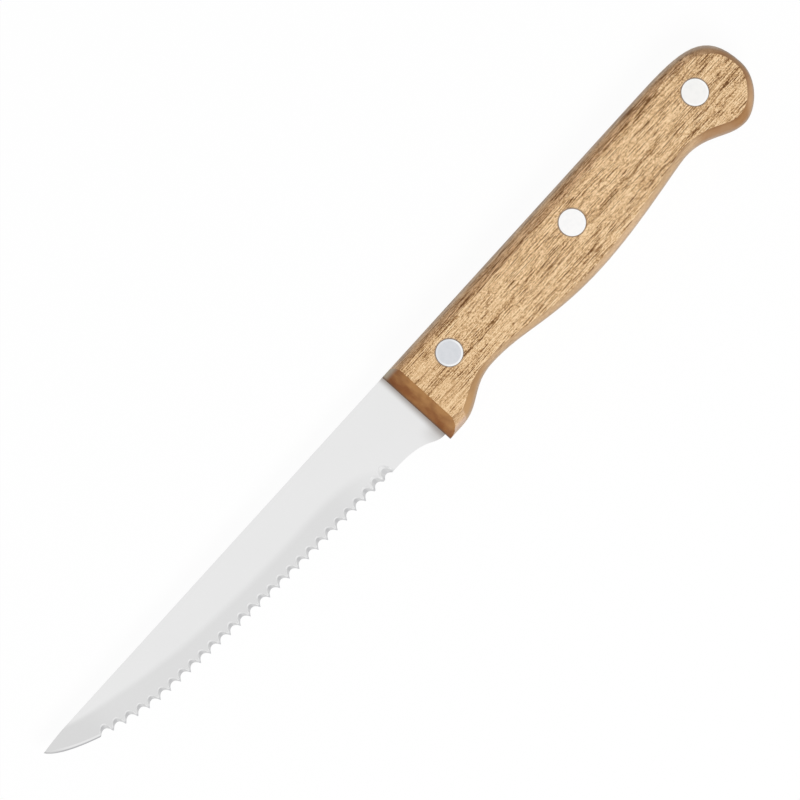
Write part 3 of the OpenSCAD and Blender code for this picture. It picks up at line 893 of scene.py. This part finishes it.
def cutGrind(piece):
    # the ground band on both faces, down to the edge
    k, o = bladeShape, knifeOutline
    half = layers["steelHalf"]
    start, end = o["grindFoot"][0], o["bladeLength"] + k["over"]
    sections = []
    for i in range(k["grindColumns"] + 1):
        x = start + (end - start) * (i / k["grindColumns"]) ** k["grindCrowding"]
        upper, lower = depthAt(grindStretches(), x), depthAt(edgeStretches(), x)
        width = grindWidth() if x < o["grindLevel"][0] else lower - upper
        slope = (half - k["edgeHalf"]) / width
        sections.append(section(x, upper, half, lower, slope))
    cutBothFaces(piece, "grind", sections)


def cutFineBevel(piece):
    # the fine bevel on the plain edge by the tip
    k = bladeShape
    start, end = k["teethEnd"], knifeOutline["bladeLength"] + k["over"]
    sections = []
    for i in range(k["bevelColumns"] + 1):
        x = start + (end - start) * i / k["bevelColumns"]
        lower = depthAt(edgeStretches(), x)
        width = max(k["leastGrind"], lower - depthAt(grindStretches(), x))
        height = k["edgeHalf"] + k["fineBevel"] * (layers["steelHalf"] - k["edgeHalf"]) / width
        slope = (height - k["edgeHalf"] * k["fineEdgeShare"]) / k["fineBevel"]
        sections.append(section(x, lower - k["fineBevel"], height, lower, slope))
    cutBothFaces(piece, "fineBevel", sections)


def cutScallops(piece):
    # each scallop is cut from the left face by a leaning round
    k = bladeShape
    firstTooth = knifeOutline["firstTooth"][0]
    depth, lean = k["toothDepth"], math.radians(k["toothLean"])
    pitch = (k["teethEnd"] - firstTooth) / k["teeth"]
    start = firstTooth + k["toothShift"]
    slope = (layers["steelHalf"] - k["edgeHalf"]) / grindWidth()
    rootHalf = k["edgeHalf"] + depth * slope
    rise = (depth + math.tan(lean) * depth * slope) * math.cos(lean)
    halfWidth = pitch * (1 - k["toothLand"]) / 2
    radius = (halfWidth ** 2 + rise ** 2) / (2 * rise)
    away = radius / math.cos(lean) - depth
    for i in range(k["teeth"]):
        ends = (start + i * pitch, start + (i + 1) * pitch)
        first, last = ((x, depthAt(edgeStretches(), x)) for x in ends)
        turn = math.atan2(last[1] - first[1], last[0] - first[0])
        middle = (sum(ends) / 2 - math.sin(turn) * away, (first[1] + last[1]) / 2 + math.cos(turn) * away)
        bpy.ops.mesh.primitive_cylinder_add(vertices=k["toothSides"], radius=radius * mm,
                                            depth=k["toothCutterLength"] * mm,
                                            location=placed(*middle, -rootHalf), rotation=(lean, 0, turn))
        cut(piece, bpy.context.object)


def makeBlade(material):
    k = bladeShape
    half = layers["steelHalf"]
    piece = outlinePiece("blade", bladeOutline(), k["steps"], -half)
    editWhole()
    bpy.ops.mesh.edge_face_add()
    extrudeUp(2 * half)
    faceOutward()
    # soften the two long edges of the bare back
    editMode()
    bpy.ops.mesh.select_mode(type="EDGE")
    bpy.ops.mesh.select_all(action="DESELECT")
    objectMode()
    for edge in piece.data.edges:
        a, b = (drawn(piece.data.vertices[i].co) for i in edge.vertices)
        level = abs(a.z - b.z) < nearMm and abs(abs(a.z) - half) < nearMm
        edge.select = level and max(a.y, b.y) < k["backDepth"] and max(a.x, b.x) > 0
    editMode()
    bpy.ops.mesh.bevel(offset=k["spineBevel"] * mm, segments=2, affect="EDGES")
    objectMode()
    cutGrind(piece)
    cutFineBevel(piece)
    cutScallops(piece)
    for centre in rivetPlaces:
        cut(piece, lathed("bore", centre, k["boreRings"], k["boreSides"]))
    finishPiece(piece, "steel_blade", material, k["smoothDegrees"])
    return piece


rivetShape = {
    "headRadius": 3.0, "headDepth": 1.5, "shankRadius": 2.0, "pinRadius": 1.2, "gap": 0.3, "chamfer": 0.25,
    "clearance": 0.02, "rimWidth": 0.45, "rimDrop": 0.035, "smoothDegrees": 28,
    # the head's rounded rim: shares of its width and drop, from the wall to the flat
    "rimSteps": [(0, 2.2), (0.25, 1), (0.6, 0.3), (1, 0)],
}


def headRim(height, up):
    # rings of a head that ends at that height; up is 1 where it looks up and -1 where it looks down
    k = rivetShape
    return [(k["headRadius"] - k["rimWidth"] * inward, height - up * k["rimDrop"] * drop)
            for inward, drop in k["rimSteps"]]


def makePin(word, centre, material):
    k = rivetShape
    floor = faceHeight - k["headDepth"]
    end = k["gap"] - floor
    rings = [(k["pinRadius"] - k["chamfer"], end), (k["pinRadius"], end + k["chamfer"]), (k["pinRadius"], floor),
             (k["headRadius"], floor), *headRim(faceHeight, 1)]
    piece = lathed(word, centre, rings)
    finishPiece(piece, word + "_rivet_head", material, k["smoothDegrees"])
    return piece


def makeSocket(word, centre, material):
    k = rivetShape
    floor = k["headDepth"] - faceHeight
    end = -floor - k["gap"]
    bore = k["pinRadius"] + k["clearance"]
    rings = [*reversed(headRim(-faceHeight, -1)), (k["headRadius"], floor), (k["shankRadius"], floor),
             (k["shankRadius"], end - k["chamfer"]), (k["shankRadius"] - k["chamfer"], end),
             (bore, end), (bore, floor)]
    piece = lathed(word, centre, rings)
    finishPiece(piece, word + "_rivet_back", material, k["smoothDegrees"])
    return piece


studio = {
    "floorColour": shade(252, 252, 252), "floorGrain": shade(246, 246, 246), "grainScale": 400, "grainShare": 0.1,
    "paperRoughness": 0.9, "floorGlow": 0.955, "floorSize": 24, "floorDrop": 0.02, "worldLight": 0.45, "horizon": 0.7,
    "horizonSpan": (-0.1, 0.85), "keyWatts": 7.1, "keySize": 0.5, "keyPlace": (0.06, 0.5, 0.95),
    "turn": 132.255, "lens": 800, "sensorMm": 36, "viewMm": 175.15, "clipEnd": 100,
    "centre": (-0.002285, -0.00455), "aimHeight": 0.0095,
}
white = (1, 1, 1, 1)


def makeFloor():
    # white paper that glows for the camera and keeps the knife's shadow
    k = studio
    bpy.ops.mesh.primitive_plane_add(size=k["floorSize"], location=(0, 0, -k["floorDrop"] * mm))
    floor = bpy.context.object
    floor.name = "floor"
    applyPlace()
    paper = Finish("white_paper", k["floorColour"])
    grain = paper.noise(paper.coordinate("Object"), scale=k["grainScale"])
    colour = paper.mix(grain * k["grainShare"], k["floorColour"], k["floorGrain"])
    paper.feed(colour=colour, roughness=k["paperRoughness"])
    rays = paper.node("ShaderNodeLightPath")
    seen = rays.out("Is Camera Ray").largerOf(rays.out("Is Glossy Ray")).largerOf(rays.out("Is Transmission Ray"))
    glow = paper.node("ShaderNodeEmission", None, {"Color": white, "Strength": 1.0}).out()
    lit = Wire(paper, paper.shader.outputs[0])
    both = paper.node("ShaderNodeMixShader", None, {0: seen * k["floorGlow"], 1: lit, 2: glow}).out()
    paper.link(both, paper.tree.nodes["Material Output"].inputs["Surface"])
    floor.data.materials.append(paper.material)


def makeWorld():
    # white to the camera; what metal reflects of it fades towards the horizon
    k = studio
    world = bpy.data.worlds.new("studio")
    bpy.context.scene.world = world
    world.use_nodes = True
    sky = Graph(world.node_tree)
    rays = sky.node("ShaderNodeLightPath")
    height = sky.parted(sky.coordinate("Generated"))[2]
    overhead = height.between(*k["horizonSpan"]).lifted(k["horizon"])
    mirrored = rays.out("Is Glossy Ray").largerOf(rays.out("Is Transmission Ray"))
    camera = rays.out("Is Camera Ray")
    strength = camera + (1 - camera) * (mirrored * overhead + (1 - mirrored) * k["worldLight"])
    background = sky.tree.nodes["Background"]
    background.inputs["Color"].default_value = white
    sky.link(strength, background.inputs["Strength"])


def makeLamp():
    k = studio
    lamp = bpy.data.lights.new("key", "AREA")
    lamp.shape = "DISK"
    lamp.size = k["keySize"]
    lamp.energy = k["keyWatts"]
    key = bpy.data.objects.new("key", lamp)
    bpy.context.scene.collection.objects.link(key)
    key.location = k["keyPlace"]
    key.rotation_euler = (-Vector(k["keyPlace"])).to_track_quat("-Z", "Y").to_euler()
    key.visible_camera = False
    key.visible_glossy = False


def makeCamera():
    k = studio
    lens = bpy.data.cameras.new("camera")
    lens.lens = k["lens"]
    lens.sensor_width = k["sensorMm"]
    lens.clip_end = k["clipEnd"]
    camera = bpy.data.objects.new("camera", lens)
    bpy.context.scene.collection.objects.link(camera)
    distance = k["viewMm"] * mm * k["lens"] / k["sensorMm"]
    camera.location = (*k["centre"], k["aimHeight"] + distance)
    camera.rotation_euler = (0, 0, math.radians(k["turn"]))
    bpy.context.scene.camera = camera
    bpy.context.scene.view_settings.view_transform = "Standard"


wood = woodFinish()
steel = steelFinish()
print("finishes made")

leftScale = makeScale(wood)
rightScale = turnedOver(leftScale, "wood_scale_right")
declare(leftScale, "handle_wood", "left_scale")
declare(rightScale, "handle_wood", "right_scale")
print("scales made", len(leftScale.data.polygons))

blade = makeBlade(steel)
declare(blade, "blade_steel", "blade")
print("blade made", len(blade.data.polygons))

for word, centre in zip(("front", "middle", "rear"), rivetPlaces):
    rivetSteel = rivetFinish(word, centre)
    declare(makePin(word, centre, rivetSteel), "rivet_steel", word + "_rivet_pin")
    declare(makeSocket(word, centre, rivetSteel), "rivet_steel", word + "_rivet_socket")
print("rivets made")

makeFloor()
makeWorld()
makeLamp()
makeCamera()
print("studio made")
